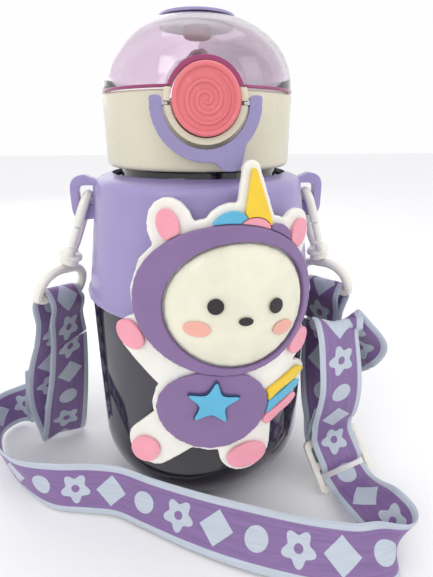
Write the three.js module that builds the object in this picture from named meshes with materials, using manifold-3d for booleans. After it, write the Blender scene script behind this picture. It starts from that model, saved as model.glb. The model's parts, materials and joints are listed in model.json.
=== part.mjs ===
// A child's water bottle: clear body in a lilac sleeve, screw lid with a flip-up dome, a push
// button and a lock bail, a soft figure on the front, and a webbing strap on two snap hooks.
// Millimetres, +Z up, front facing -Y. The origin is the centre of the flat base.
import * as THREE from 'three';
import { mergeVertices } from 'three/addons/utils/BufferGeometryUtils.js';
import { TessellateModifier } from 'three/addons/modifiers/TessellateModifier.js';
import Module from 'manifold-3d';

const wasm = await Module();
wasm.setup();

// ---- Driving dimensions -------------------------------------------------------------------
const GAP = 0.3;                 // clearance between pieces that touch
const ROUND = 36;                // facets round a large turned piece
const ROUND_SMALL = 24;          // facets round a small one

const BODY_RADIUS = 53.5;        // outside of the clear body
const BODY_WALL = 2.2;
const CORNER_RADIUS = 31;        // rounding at the foot of the body
const SLEEVE_FOOT_Z = 104;       // lower lip of the sleeve
const SLEEVE_FOOT_RADIUS = 54.6;
const SLEEVE_TOP_Z = 160;
const SHOULDER_RADIUS = 47.6;    // outside of the sleeve just below its shoulder
const SHOULDER_DROP = 6;         // the shoulder's rounding, measured down from the sleeve's top
const SLEEVE_WALL = 2;
const LIP_HEIGHT = 3;
const LIP_PROUD = 0.9;
const NECK_RADIUS = 35;          // outside of the neck
const NECK_WALL = 2.4;
const NECK_TOP_Z = 177;
const THREAD_HEIGHT = 1.5;
const THREAD_PITCH = 4;
const THREAD_TURNS = 1.5;

const COLLAR_RADIUS = 41;        // outside of the screw lid
const COLLAR_FOOT_Z = 162.5;
const COLLAR_TOP_Z = 191.5;
const COLLAR_WALL = 2.3;
const THREAD_CLEARANCE = 0.5;
const SEAL_THICKNESS = 1.6;
const DECK_THICKNESS = 2.6;

const DOME_RADIUS = 40.7;
const DOME_HEIGHT = 31.5;
const DOME_WALL = 2;
const DOME_FULLNESS = 2.25;      // exponent of the dome's outline, 2 is an ellipse
const DOME_STEPS = 11;           // along the dome's outline, from foot to crown
const CAP_RADIUS = 16.5;         // lilac cap on the dome's crown
const CAP_THICKNESS = 1.1;

const BUTTON_RADIUS = 12;
const BUTTON_Z = 187.4;
const BUTTON_FACE_Y = -48.4;
const BUTTON_THICKNESS = 6.5;
const BUTTON_CLEARANCE = 0.5;
const BUTTON_TRAVEL = 2.5;
const BOSS_WALL = 2.3;
const BOSS_FACE_Y = -45.6;
const ARCH_WALL = 1.6;

const BAIL_WIDTH = 4.6;
const BAIL_THICKNESS = 3.6;
const BAIL_PIVOT_Z = 186.4;
const BAIL_Y = -44.4;
const BAIL_END_Z = 189;
const BAIL_TAB = 3.4;            // how far the thumb tab reaches below the bail
const BAIL_PIN_RADIUS = 1.1;

const HINGE_Y = 45.2;
const HINGE_Z = 189.2;
const HINGE_PIN_RADIUS = 1.5;
const HINGE_KNUCKLE_RADIUS = 3.4;
const HINGE_COLLAR_EAR = [9.2, 13.2];
const HINGE_DOME_EAR = [4.2, 8.8];

const SPOUT_Y = 5;
const SPOUT_RADII = [6.2, 4.4];  // half width and half depth of the oval silicone spout
const SPOUT_BORE = 2.2;
const SPOUT_BEND_Z = 192;
const STRAW_RADIUS = 3.4;
const STRAW_WALL = 0.7;
const STRAW_FOOT_Z = 12;

const HOOK_ROD = 4.6;
const EAR_REACH = 54.8 + HOOK_ROD;          // furthest side of a strap ear from the bottle's axis
const EAR_TOP_Z = 158.5;
const EAR_FOOT_Z = 138.5;
const EAR_BAR = 3.7;
const EAR_THICKNESS = 5;
const EAR_HOLE_X = 48.3;

const HOOK_LEAN = { left: 21.5, right: 17 };   // degrees the hooks lean out from the vertical
const HOOK_INSIDE = 7.2;         // clear width inside a hook
const HOOK_LENGTH = 29;          // from the crown of a hook to its barrel
const BARREL_RADIUS = 4.6;
const BARREL_LENGTH = 6.5;
const GATE_LENGTH = 10.5;
const GATE_CLEARANCE = 1.2;      // below a gate, for its foot to turn
const RING_WIDTH = 36.4;
const RING_HEIGHT = 20;
const RING_ROD = 4.8;
const RING_TURN = { left: 63, right: -62 };   // degrees each strap ring is turned on its swivel

const STRAP_WIDTH = 25;
const STRAP_THICKNESS = 1.4;

const CHARM_CLEARANCE = 0.6;     // from the sleeve's lip to the back of the soft figure
const CHARM_PLATE = 3;
const CHARM_LAYER = 1.7;
const CHARM_MARGIN = 2.6;        // white edge that the base plate shows round the coloured parts
const FACE_RISE = 4.6;
const CHARM_TOP_LEAN = 0.045;    // how much the figure leans back per millimetre above the lip

// ---- Colours --------------------------------------------------------------------------------
const finish = (color, roughness, extra = {}) =>
  new THREE.MeshStandardMaterial({ color, roughness, metalness: 0, ...extra });
const CREAM = finish(0xd9d4c0, 0.4);
const LILAC = finish(0x9f92c4, 0.42);
const LILAC_DEEP = finish(0x9288bd, 0.4);
const SMOKE = finish(0x3a3744, 0.1, { transparent: true, opacity: 0.45 });
const PINK_CLEAR = finish(0x9c4f86, 0.08, { transparent: true, opacity: 0.4 });
const CORAL = finish(0xe5757e, 0.45);
const SILICONE = finish(0xe9c3cb, 0.6);
const SILICONE_CLEAR = finish(0xdadada, 0.5);
const STEEL = finish(0xb8b8bc, 0.3, { metalness: 1 });
const IVORY = finish(0xe1ddcd, 0.45);
const WEBBING = finish(0x8f6cab, 0.6);
const WHITE_PVC = finish(0xe8e6dc, 0.5);
const PURPLE_PVC = finish(0x8c6ea2, 0.55);
const FACE_PVC = finish(0xe2dfcb, 0.15);
const PINK_PVC = finish(0xe18f9f, 0.55);
const YELLOW_PVC = finish(0xe8c030, 0.5);
const BLUE_PVC = finish(0x4fa6c4, 0.5);
const NAVY_PVC = finish(0x2c4a74, 0.5);
const DARK_PVC = finish(0x2a2226, 0.35);
const SALMON_PVC = finish(0xe3a08c, 0.5);

// ---- Solid helpers --------------------------------------------------------------------------
const bare = (geometry) => {
  const copy = geometry.clone();
  for (const name of Object.keys(copy.attributes)) if (name !== 'position') copy.deleteAttribute(name);
  return mergeVertices(copy, 1e-4);
};

// A Manifold solid of a closed geometry, turned right side out if it needs it.
function solid(geometry) {
  const merged = bare(geometry);
  const corners = Float32Array.from(merged.attributes.position.array);
  const faces = Uint32Array.from(merged.index.array);
  const make = () => {
    const mesh = new wasm.Mesh({ numProp: 3, vertProperties: corners, triVerts: faces });
    return new wasm.Manifold(mesh);
  };
  let body = make();
  if (body.volume() < 0) {
    for (let i = 0; i < faces.length; i += 3) [faces[i + 1], faces[i + 2]] = [faces[i + 2], faces[i + 1]];
    body = make();
  }
  return body;
}

function geometryOf(body) {
  const mesh = body.getMesh();
  const geometry = new THREE.BufferGeometry();
  const corners = new Float32Array(mesh.numVert * 3);
  for (let i = 0; i < mesh.numVert; i++) {
    for (let k = 0; k < 3; k++) corners[i * 3 + k] = mesh.vertProperties[i * mesh.numProp + k];
  }
  geometry.setAttribute('position', new THREE.BufferAttribute(corners, 3));
  geometry.setIndex([...mesh.triVerts]);
  return geometry;
}

const join = (...parts) => geometryOf(parts.map(solid).reduce((all, one) => all.add(one)));
const cut = (base, ...tools) => geometryOf(tools.reduce((all, one) => all.subtract(solid(one)), solid(base)));
const common = (first, second) => geometryOf(solid(first).intersect(solid(second)));

// A solid of revolution round Z. The outline is [radius, z] pairs, closed on itself or on the axis.
function turned(outline, facets = ROUND) {
  const points = outline.map(([r, z]) => new THREE.Vector2(r, z));
  const onAxis = outline[0][0] === 0;
  if (!onAxis) points.push(points[0].clone());
  return geometryOf(solid(new THREE.LatheGeometry(points, facets).rotateX(Math.PI / 2)));
}

function arc(cx, cz, radius, from, to, steps) {
  return Array.from({ length: steps + 1 }, (_, i) => {
    const a = THREE.MathUtils.degToRad(from + ((to - from) * i) / steps);
    return [cx + radius * Math.cos(a), cz + radius * Math.sin(a)];
  });
}

const box = (x0, x1, y0, y1, z0, z1) =>
  new THREE.BoxGeometry(x1 - x0, y1 - y0, z1 - z0).translate((x0 + x1) / 2, (y0 + y1) / 2, (z0 + z1) / 2);

// A rod along an axis letter between two coordinates, centred on the other two.
function rod(axis, radius, from, to, centre, facets = ROUND_SMALL) {
  const geometry = new THREE.CylinderGeometry(radius, radius, to - from, facets);
  if (axis === 'x') geometry.rotateZ(Math.PI / 2);
  if (axis === 'z') geometry.rotateX(Math.PI / 2);
  const middle = { x: 0, y: 0, z: 0, ...centre, [axis]: (from + to) / 2 };
  return geometry.translate(middle.x, middle.y, middle.z);
}

const extruded = (shape, settings) =>
  new THREE.ExtrudeGeometry(shape, { bevelEnabled: false, ...settings });

// A rod bent along a curve, with an oval section of the two half widths.
function sweptOval(curve, [across, deep], steps, sides) {
  const section = new THREE.Shape();
  section.absellipse(0, 0, across, deep, 0, 2 * Math.PI);
  // A full turn takes two points for each of its curve segments.
  return extruded(section, { steps, extrudePath: curve, curveSegments: sides / 2 });
}
const swept = (curve, radius, steps, sides = 8) => sweptOval(curve, [radius, radius], steps, sides);

class Coil extends THREE.Curve {
  constructor(radius, pitch, turns) {
    super();
    Object.assign(this, { radius, pitch, turns });
  }
  getPoint(t, target = new THREE.Vector3()) {
    const a = t * this.turns * 2 * Math.PI;
    return target.set(this.radius * Math.cos(a), this.radius * Math.sin(a), t * this.turns * this.pitch);
  }
}

const object = new THREE.Group();
function add(name, geometry, material, parent = object) {
  const mesh = new THREE.Mesh(geometry, material);
  mesh.name = name;
  parent.add(mesh);
  return mesh;
}

// ---- Bottle ---------------------------------------------------------------------------------
// Outside radius of the sleeve at a height.
const sleeveRise = SLEEVE_TOP_Z - SHOULDER_DROP - SLEEVE_FOOT_Z;
function sleeveRadius(z) {
  const share = THREE.MathUtils.clamp((z - SLEEVE_FOOT_Z) / sleeveRise, 0, 1);
  return SLEEVE_FOOT_RADIUS + (SHOULDER_RADIUS - SLEEVE_FOOT_RADIUS) * share;
}
const shoulderZ = SLEEVE_TOP_Z - SHOULDER_DROP;
const neckFoot = NECK_RADIUS + 3.5;
const skin = SLEEVE_WALL + GAP;   // from the sleeve's outside to the body's

function bottleBody() {
  const foot = BODY_RADIUS - CORNER_RADIUS;
  const innerCorner = CORNER_RADIUS - BODY_WALL;
  const stepZ = SLEEVE_FOOT_Z - 3;
  const covered = sleeveRadius(SLEEVE_FOOT_Z) - skin;
  const shoulder = SHOULDER_RADIUS - skin;
  const outside = [
    [0, 0], ...arc(foot, CORNER_RADIUS, CORNER_RADIUS, -90, 0, 5),
    [BODY_RADIUS, stepZ], [covered, SLEEVE_FOOT_Z - GAP], [shoulder, shoulderZ],
    [shoulder - 1.6, shoulderZ + 2.2], [neckFoot, SLEEVE_TOP_Z - skin], [NECK_RADIUS, SLEEVE_TOP_Z],
    [NECK_RADIUS, NECK_TOP_Z],
  ];
  const bore = NECK_RADIUS - NECK_WALL;
  const inside = [
    [bore, NECK_TOP_Z], [bore, SLEEVE_TOP_Z - NECK_WALL], [shoulder - BODY_WALL - 1.5, shoulderZ],
    [shoulder - BODY_WALL, shoulderZ - 3], [covered - BODY_WALL, SLEEVE_FOOT_Z],
    [BODY_RADIUS - BODY_WALL, stepZ - 2], ...arc(foot, CORNER_RADIUS, innerCorner, 0, -90, 5),
    [0, BODY_WALL],
  ];
  const shell = turned([...outside, ...inside]);
  const ridge = swept(new Coil(NECK_RADIUS + THREAD_HEIGHT - 1, THREAD_PITCH, THREAD_TURNS), 1, 36, 6);
  ridge.translate(0, 0, NECK_TOP_Z - 3.5 - THREAD_PITCH * THREAD_TURNS);
  return join(shell, ridge);
}
add('bottle_body', bottleBody(), SMOKE);

function sleeve() {
  const lip = SLEEVE_FOOT_RADIUS + LIP_PROUD;
  const inner = (z) => sleeveRadius(z) - SLEEVE_WALL;
  const mouth = neckFoot + 1.2;
  const shell = turned([
    [inner(SLEEVE_FOOT_Z), SLEEVE_FOOT_Z], [SLEEVE_FOOT_RADIUS, SLEEVE_FOOT_Z],
    [lip, SLEEVE_FOOT_Z + LIP_HEIGHT * 0.3], [lip, SLEEVE_FOOT_Z + LIP_HEIGHT * 0.7],
    [sleeveRadius(SLEEVE_FOOT_Z + LIP_HEIGHT), SLEEVE_FOOT_Z + LIP_HEIGHT],
    [SHOULDER_RADIUS, shoulderZ],
    ...arc(SHOULDER_RADIUS - 4.6, shoulderZ, 4.6, 22, 90, 3),
    [mouth, SLEEVE_TOP_Z], [mouth, SLEEVE_TOP_Z - SLEEVE_WALL],
    [SHOULDER_RADIUS - SLEEVE_WALL - 1.6, shoulderZ + 2.5], [inner(shoulderZ), shoulderZ],
  ]);
  return join(shell, strapEar(1), strapEar(-1));
}

// A D-shaped ear beside the shoulder, with a hole along Y for a hook. Side is 1 or -1.
function strapEar(side) {
  const root = sleeveRadius(EAR_FOOT_Z) - SLEEVE_WALL * 0.6;
  const crown = sleeveRadius(EAR_TOP_Z) - SLEEVE_WALL * 0.6;
  const outline = new THREE.Shape();
  outline.moveTo(root, EAR_FOOT_Z);
  outline.lineTo(EAR_REACH - 5, EAR_FOOT_Z - 0.5);
  outline.quadraticCurveTo(EAR_REACH, EAR_FOOT_Z - 0.5, EAR_REACH, EAR_FOOT_Z + 5);
  outline.lineTo(EAR_REACH, EAR_TOP_Z - 7);
  outline.quadraticCurveTo(EAR_REACH, EAR_TOP_Z, EAR_REACH - 7, EAR_TOP_Z);
  outline.lineTo(crown, EAR_TOP_Z - 2.5);
  const hole = new THREE.Path();
  const outer = EAR_REACH - EAR_BAR;
  const top = EAR_TOP_Z - EAR_BAR - 1;
  const foot = EAR_FOOT_Z + EAR_BAR + 2.6;
  hole.moveTo(EAR_HOLE_X + 1.5, foot);
  hole.lineTo(outer - 1.5, foot);
  hole.quadraticCurveTo(outer, foot, outer, foot + 1.5);
  hole.lineTo(outer, top - 3);
  hole.quadraticCurveTo(outer, top, outer - 3, top);
  hole.lineTo(EAR_HOLE_X + 0.6, top);
  outline.holes.push(hole);
  const ear = extruded(outline, { depth: EAR_THICKNESS, curveSegments: 5 });
  ear.rotateX(Math.PI / 2).translate(0, EAR_THICKNESS / 2, 0);
  return side > 0 ? ear : ear.rotateZ(Math.PI);
}
add('body_sleeve', sleeve(), LILAC);

// ---- Screw lid ------------------------------------------------------------------------------
const collarBore = COLLAR_RADIUS - COLLAR_WALL;
const threadBore = NECK_RADIUS + THREAD_HEIGHT + THREAD_CLEARANCE;
const sealZ = NECK_TOP_Z + GAP;
const deckZ = sealZ + SEAL_THICKNESS + GAP;
const deckTopZ = deckZ + DECK_THICKNESS;
const buttonBore = BUTTON_RADIUS + BUTTON_CLEARANCE;
const bossRadius = buttonBore + BOSS_WALL;
const FAR = 200;                  // longer than anything it cuts

function collar() {
  const shell = turned([
    [threadBore, COLLAR_FOOT_Z], [COLLAR_RADIUS - 2.4, COLLAR_FOOT_Z],
    ...arc(COLLAR_RADIUS - 2.4, COLLAR_FOOT_Z + 2.4, 2.4, -60, 0, 2),
    [COLLAR_RADIUS, COLLAR_TOP_Z - 0.8], [COLLAR_RADIUS - 0.8, COLLAR_TOP_Z],
    [collarBore, COLLAR_TOP_Z], [collarBore, deckZ - GAP], [threadBore, deckZ - GAP - 1.2],
  ]);
  const boss = cut(
    common(
      rod('y', bossRadius, BOSS_FACE_Y, -COLLAR_RADIUS + 5, { z: BUTTON_Z }, 40),
      box(-FAR, FAR, -FAR, FAR, 0, COLLAR_TOP_Z),
    ),
    rod('z', collarBore, 0, FAR, {}, ROUND),
  );
  const opening = rod('y', buttonBore, BOSS_FACE_Y - 5, -collarBore + 8, { z: BUTTON_Z }, 40);
  const ears = [-1, 1].map((side) => {
    const [near, far] = HINGE_COLLAR_EAR.map((x) => x * side).sort((a, b) => a - b);
    const knuckle = rod('x', HINGE_KNUCKLE_RADIUS, near, far, { y: HINGE_Y, z: HINGE_Z }, 20);
    const footZ = HINGE_Z - HINGE_KNUCKLE_RADIUS;
    const root = box(near, far, COLLAR_RADIUS - 4.2, HINGE_Y, footZ, COLLAR_TOP_Z - 0.4);
    return join(knuckle, root);
  });
  const pinHole = rod('x', HINGE_PIN_RADIUS + GAP, -FAR, FAR, { y: HINGE_Y, z: HINGE_Z }, 20);
  const bailHole = rod('x', BAIL_PIN_RADIUS + GAP, -FAR, FAR, { y: BAIL_Y, z: BAIL_PIVOT_Z }, 12);
  return cut(join(shell, boss, ...ears), opening, pinHole, bailHole);
}
add('lid_collar', collar(), CREAM);
add('neck_seal', turned([
  [NECK_RADIUS - NECK_WALL, sealZ], [NECK_RADIUS + 0.8, sealZ],
  [NECK_RADIUS + 0.8, sealZ + SEAL_THICKNESS], [NECK_RADIUS - NECK_WALL, sealZ + SEAL_THICKNESS],
]), SILICONE_CLEAR);

const ventPlace = { x: -17, y: 12 };
const springSeatY = -31;
function deck() {
  const plate = turned([[0, deckZ], [collarBore - GAP, deckZ], [collarBore - GAP, deckTopZ], [0, deckTopZ]]);
  const seat = box(-7, 7, springSeatY, springSeatY + 2, deckTopZ - 1, BUTTON_Z + 5);
  const socket = rod('z', STRAW_RADIUS + 2, deckZ - 7, deckZ + 0.5, { y: SPOUT_Y });
  const bore = rod('z', STRAW_RADIUS + GAP, deckZ - FAR, deckTopZ + 1, { y: SPOUT_Y });
  const vent = rod('z', 2.6 + GAP, deckZ - 1, deckTopZ + 1, ventPlace, 16);
  return cut(join(plate, seat, socket), bore, vent);
}
add('lid_deck', deck(), CREAM);
add('vent_valve', turned([
  [0, deckZ - 2], [1.6, deckZ - 2], [2.6, deckZ + 0.4], [2.6, deckTopZ + GAP], [4.2, deckTopZ + GAP],
  [4.2, deckTopZ + 1.3], [0, deckTopZ + 1.9],
], 16).translate(ventPlace.x, ventPlace.y, 0), SILICONE);
add('straw', turned([
  [STRAW_RADIUS - STRAW_WALL, STRAW_FOOT_Z], [STRAW_RADIUS, STRAW_FOOT_Z],
  [STRAW_RADIUS, deckTopZ - 0.5], [STRAW_RADIUS - STRAW_WALL, deckTopZ - 0.5],
], 16).translate(0, SPOUT_Y, 0), SILICONE_CLEAR);

// ---- Silicone spout: an oval base, and a tip that folds forward under the dome ---------------
function oval(z0, z1, grow) {
  const [a, b] = SPOUT_RADII;
  return new THREE.CylinderGeometry(1, 1, z1 - z0, ROUND_SMALL)
    .rotateX(Math.PI / 2).scale(a + grow, b + grow, 1).translate(0, SPOUT_Y, (z0 + z1) / 2);
}
const spoutFootZ = deckTopZ + GAP;
add('spout_base', cut(
  join(oval(spoutFootZ, spoutFootZ + 1.6, 3), oval(spoutFootZ, SPOUT_BEND_Z - GAP, 0)),
  rod('z', SPOUT_BORE, 0, FAR * 2, { y: SPOUT_Y }, 12),
), SILICONE);

const spoutPoints = [[0, 0], [0, 3], [-3, 8.5], [-9.5, 13.5]]
  .map(([y, z]) => new THREE.Vector3(0, SPOUT_Y + y, SPOUT_BEND_Z + z));
function spoutTip() {
  const [first, , third, last] = spoutPoints;
  const below = first.clone().add(new THREE.Vector3(0, 0.2, -1));
  const beyond = last.clone().add(last.clone().sub(third).setLength(1));
  const tube = sweptOval(new THREE.CatmullRomCurve3(spoutPoints), [SPOUT_RADII[1], SPOUT_RADII[0]], 7, 18);
  const bore = swept(new THREE.CatmullRomCurve3([below, ...spoutPoints, beyond]), SPOUT_BORE, 10, 12);
  return cut(tube, bore);
}
add('spout_tip', spoutTip(), SILICONE);

// ---- Push button ----------------------------------------------------------------------------
const buttonBackY = BUTTON_FACE_Y + BUTTON_THICKNESS;
function button() {
  const outline = [
    [0, 0], [BUTTON_RADIUS - 2.4, 0.5], [BUTTON_RADIUS - 1.2, 0.1], [BUTTON_RADIUS - 0.2, 0.9],
    [BUTTON_RADIUS, 1.8], [BUTTON_RADIUS, BUTTON_THICKNESS], [0, BUTTON_THICKNESS],
  ];
  const disc = turned(outline, 40).rotateX(-Math.PI / 2);
  return disc.translate(0, BUTTON_FACE_Y, BUTTON_Z);
}
add('push_button', button(), CORAL);
const latchY = [buttonBackY + GAP, springSeatY - BUTTON_TRAVEL - 1];
function latch() {
  const arm = box(-4, 4, latchY[0], latchY[1], BUTTON_Z - 4, BUTTON_Z - 1.5);
  const plate = box(-5, 5, latchY[0], latchY[0] + 1.6, BUTTON_Z - 5, BUTTON_Z + 5);
  const hook = box(-4, 4, latchY[1] - 2, latchY[1], BUTTON_Z - 4, BUTTON_Z + 5);
  return join(arm, plate, hook);
}
add('button_latch', latch(), IVORY);
function springAt(radius, wire, from, to, turns) {
  const length = to - from - 2 * wire;
  return swept(new Coil(radius, length / turns, turns), wire, turns * 8, 4).translate(0, 0, from + wire);
}
add('button_spring', springAt(2.2, 0.35, latchY[1] + GAP, springSeatY - GAP, 4)
  .rotateX(-Math.PI / 2).translate(0, 0, BUTTON_Z), STEEL);

// ---- Lock bail ------------------------------------------------------------------------------
const bailInner = bossRadius + GAP + 0.2;
const bailOuter = bailInner + BAIL_WIDTH;
function bail() {
  const centreZ = BUTTON_Z - 1;
  const outline = new THREE.Shape();
  outline.moveTo(-bailOuter, BAIL_END_Z - 1.5);
  outline.lineTo(-bailOuter, centreZ);
  outline.absarc(0, centreZ, bailOuter, Math.PI, 1.53 * Math.PI);
  const lipZ = centreZ - bailOuter;
  outline.bezierCurveTo(4.6, lipZ - 0.2, 4.4, lipZ - BAIL_TAB, 8.6, lipZ - BAIL_TAB);
  outline.bezierCurveTo(12.8, lipZ - BAIL_TAB, 13.2, lipZ - 1.5, 13.8, lipZ + 2.6);
  outline.absarc(0, centreZ, bailOuter, 1.76 * Math.PI, 2 * Math.PI);
  outline.lineTo(bailOuter, BAIL_END_Z - 1.5);
  outline.quadraticCurveTo(bailOuter, BAIL_END_Z, bailOuter - 1.5, BAIL_END_Z);
  outline.lineTo(bailInner + 1.5, BAIL_END_Z);
  outline.quadraticCurveTo(bailInner, BAIL_END_Z, bailInner, BAIL_END_Z - 1.5);
  outline.lineTo(bailInner, centreZ);
  outline.absarc(0, centreZ, bailInner, 0, Math.PI, true);
  outline.lineTo(-bailInner, BAIL_END_Z - 1.5);
  outline.quadraticCurveTo(-bailInner, BAIL_END_Z, -bailInner - 1.5, BAIL_END_Z);
  outline.lineTo(-bailOuter + 1.5, BAIL_END_Z);
  outline.quadraticCurveTo(-bailOuter, BAIL_END_Z, -bailOuter, BAIL_END_Z - 1.5);
  const plate = extruded(outline, { depth: BAIL_THICKNESS, curveSegments: 8 });
  plate.rotateX(Math.PI / 2).translate(0, BAIL_Y + BAIL_THICKNESS / 2, 0);
  return cut(plate, rod('x', BAIL_PIN_RADIUS + GAP, -FAR, FAR, { y: BAIL_Y, z: BAIL_PIVOT_Z }, 12));
}
add('lock_bail', bail(), LILAC_DEEP);
for (const [name, side] of [['left', -1], ['right', 1]]) {
  const ends = [buttonBore + 0.8, bailOuter - 0.4].map((x) => x * side).sort((a, b) => a - b);
  add(`bail_pin_${name}`, rod('x', BAIL_PIN_RADIUS, ...ends, { y: BAIL_Y, z: BAIL_PIVOT_Z }, 12), STEEL);
}

// ---- Dome -----------------------------------------------------------------------------------
const domeFootZ = COLLAR_TOP_Z + GAP + 0.2;
function domeOutline(radius, height, steps) {
  return Array.from({ length: steps + 1 }, (_, i) => {
    const a = (Math.PI / 2) * (i / steps);
    const r = radius * Math.cos(a) ** (2 / DOME_FULLNESS);
    return [i === steps ? 0 : r, domeFootZ + height * Math.sin(a) ** (2 / DOME_FULLNESS)];
  });
}
const capSeat = DOME_HEIGHT - CAP_THICKNESS - GAP;
function dome() {
  const outer = domeOutline(DOME_RADIUS, capSeat, DOME_STEPS);
  const inner = domeOutline(DOME_RADIUS - DOME_WALL, capSeat - DOME_WALL, DOME_STEPS).reverse();
  const shell = turned([...outer, ...inner]);
  const archOuter = buttonBore + ARCH_WALL;
  const arch = common(
    rod('y', archOuter, BOSS_FACE_Y + 0.8, -DOME_RADIUS + 6, { z: BUTTON_Z }, 40),
    box(-FAR, FAR, -FAR, FAR, domeFootZ, FAR * 2),
  );
  const opening = rod('y', buttonBore, BOSS_FACE_Y - 5, -DOME_RADIUS + 12, { z: BUTTON_Z }, 40);
  const knuckles = [-1, 1].map((side) => {
    const [near, far] = HINGE_DOME_EAR.map((x) => x * side).sort((a, b) => a - b);
    const knuckle = rod('x', HINGE_KNUCKLE_RADIUS, near, far, { y: HINGE_Y, z: HINGE_Z }, 20);
    const root = box(near, far, DOME_RADIUS - 1.8, HINGE_Y + 1.8, domeFootZ, domeFootZ + 4);
    const web = box(near, far, HINGE_Y - 2.6, HINGE_Y + 2.6, HINGE_Z, domeFootZ + 1);
    return join(knuckle, root, web);
  });
  const pinHole = rod('x', HINGE_PIN_RADIUS + GAP, -FAR, FAR, { y: HINGE_Y, z: HINGE_Z }, 20);
  return cut(join(shell, arch, ...knuckles), opening, pinHole);
}
add('dome_lid', dome(), PINK_CLEAR);

// The cap follows the dome's crown, a clearance above it.
function domeCap() {
  const crown = (r, lift) => {
    const share = 1 - (r / DOME_RADIUS) ** DOME_FULLNESS;
    return [r, domeFootZ + capSeat * share ** (1 / DOME_FULLNESS) + lift];
  };
  const radii = [0, 0.35, 0.7, 1].map((share) => share * CAP_RADIUS);
  const under = radii.map((r) => crown(r, GAP));
  const over = radii.slice(0, -1).map((r) => crown(r, GAP + CAP_THICKNESS)).reverse();
  const edge = crown(CAP_RADIUS - 0.5, GAP + CAP_THICKNESS);
  return turned([...under, edge, ...over]);
}
add('dome_cap', domeCap(), LILAC);

// A stop under the crown that pinches the folded spout.
const PLUG_RADIUS = 6;
const plugTopZ = domeFootZ + capSeat - DOME_WALL - 2;
add('spout_plug', turned([
  [0, plugTopZ - 4.6], [PLUG_RADIUS - 1, plugTopZ - 4.6], [PLUG_RADIUS, plugTopZ - 3.6],
  [PLUG_RADIUS, plugTopZ], [0, plugTopZ],
], 20).translate(0, SPOUT_Y - 9.5, 0), SILICONE);
add('hinge_pin', rod('x', HINGE_PIN_RADIUS, -HINGE_COLLAR_EAR[1], HINGE_COLLAR_EAR[1],
  { y: HINGE_Y, z: HINGE_Z }, 16), STEEL);
const hingeSpringEnd = HINGE_DOME_EAR[0] - GAP;
add('hinge_spring', springAt(HINGE_PIN_RADIUS + 0.8, 0.4, -hingeSpringEnd, hingeSpringEnd, 6)
  .rotateY(Math.PI / 2).translate(0, HINGE_Y, HINGE_Z), STEEL);

// ---- Snap hooks, gates and strap rings -------------------------------------------------------
// A hook is drawn upright in its own frame: loop in the YZ plane, crown up, hanging point at 0,0,0.
const loopWidth = HOOK_INSIDE + HOOK_ROD;         // between the centre lines of the two legs
function hookPath() {
  const half = loopWidth / 2;
  const path = new THREE.CurvePath();
  const crown = Array.from({ length: 9 }, (_, i) => {
    const a = (Math.PI * i) / 8;
    return new THREE.Vector3(0, -half * Math.cos(a), HOOK_ROD / 2 + half * (Math.sin(a) - 1));
  });
  const foot = new THREE.Vector3(0, 0, -HOOK_LENGTH);
  const back = new THREE.Vector3(0, half, -HOOK_LENGTH + 6);
  return new THREE.CatmullRomCurve3([
    new THREE.Vector3(0, -half, -HOOK_LENGTH + 6 + GATE_LENGTH), ...crown,
    new THREE.Vector3(0, half, -HOOK_LENGTH + 12), back, foot,
  ], false, 'centripetal');
}
function hookBody() {
  const half = loopWidth / 2;
  const loop = swept(hookPath(), HOOK_ROD / 2, 28, 8);
  const foot = swept(new THREE.QuadraticBezierCurve3(
    new THREE.Vector3(0, -half, -HOOK_LENGTH + 5.4), new THREE.Vector3(0, -half, -HOOK_LENGTH + 2),
    new THREE.Vector3(0, 0, -HOOK_LENGTH - 0.5),
  ), HOOK_ROD / 2, 6, 8);
  const barrel = rod('z', BARREL_RADIUS, -HOOK_LENGTH - BARREL_LENGTH + 2, -HOOK_LENGTH + 2, {}, 16);
  const collarRing = rod('z', BARREL_RADIUS + 1, -HOOK_LENGTH - 1.2, -HOOK_LENGTH + 1.2, {}, 16);
  const bore = rod('z', 1.9 + GAP, -HOOK_LENGTH - BARREL_LENGTH, -HOOK_LENGTH, {}, 12);
  return cut(join(loop, foot, barrel, collarRing), bore);
}
function gateBody() {
  const half = loopWidth / 2;
  const foot = -HOOK_LENGTH + 5.4 + GATE_CLEARANCE;
  return rod('z', HOOK_ROD / 2 - 0.4, foot, -HOOK_LENGTH + 6 + GATE_LENGTH - 2 * GAP, { y: -half }, 10);
}
// The ring hangs from a stem in the barrel: a rounded D with its flat bar below.
function ringBody() {
  const top = -HOOK_LENGTH - BARREL_LENGTH + 2 - GAP - RING_ROD / 2;
  const w = RING_WIDTH / 2 - RING_ROD / 2;
  const h = RING_HEIGHT - RING_ROD;
  const curve = new THREE.CatmullRomCurve3([
    [0, 0], [w * 0.5, -0.6], [w * 0.88, -h * 0.3], [w, -h * 0.68], [w * 0.93, -h * 0.95],
    [w * 0.5, -h], [-w * 0.5, -h], [-w * 0.93, -h * 0.95], [-w, -h * 0.68], [-w * 0.88, -h * 0.3],
    [-w * 0.5, -0.6],
  ].map(([x, z]) => new THREE.Vector3(x, 0, top + z)), true, 'centripetal');
  const loop = new THREE.TubeGeometry(curve, 32, RING_ROD / 2, 8, true);
  const stem = rod('z', 1.9, top - 1, -HOOK_LENGTH - 2 * GAP, {}, 12);
  return { loop, stem };
}
const hangZ = EAR_FOOT_Z + EAR_BAR + 2.6 + HOOK_ROD / 2 + GAP;
const hangX = EAR_REACH - EAR_BAR - HOOK_ROD / 2 - 0.9;
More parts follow.
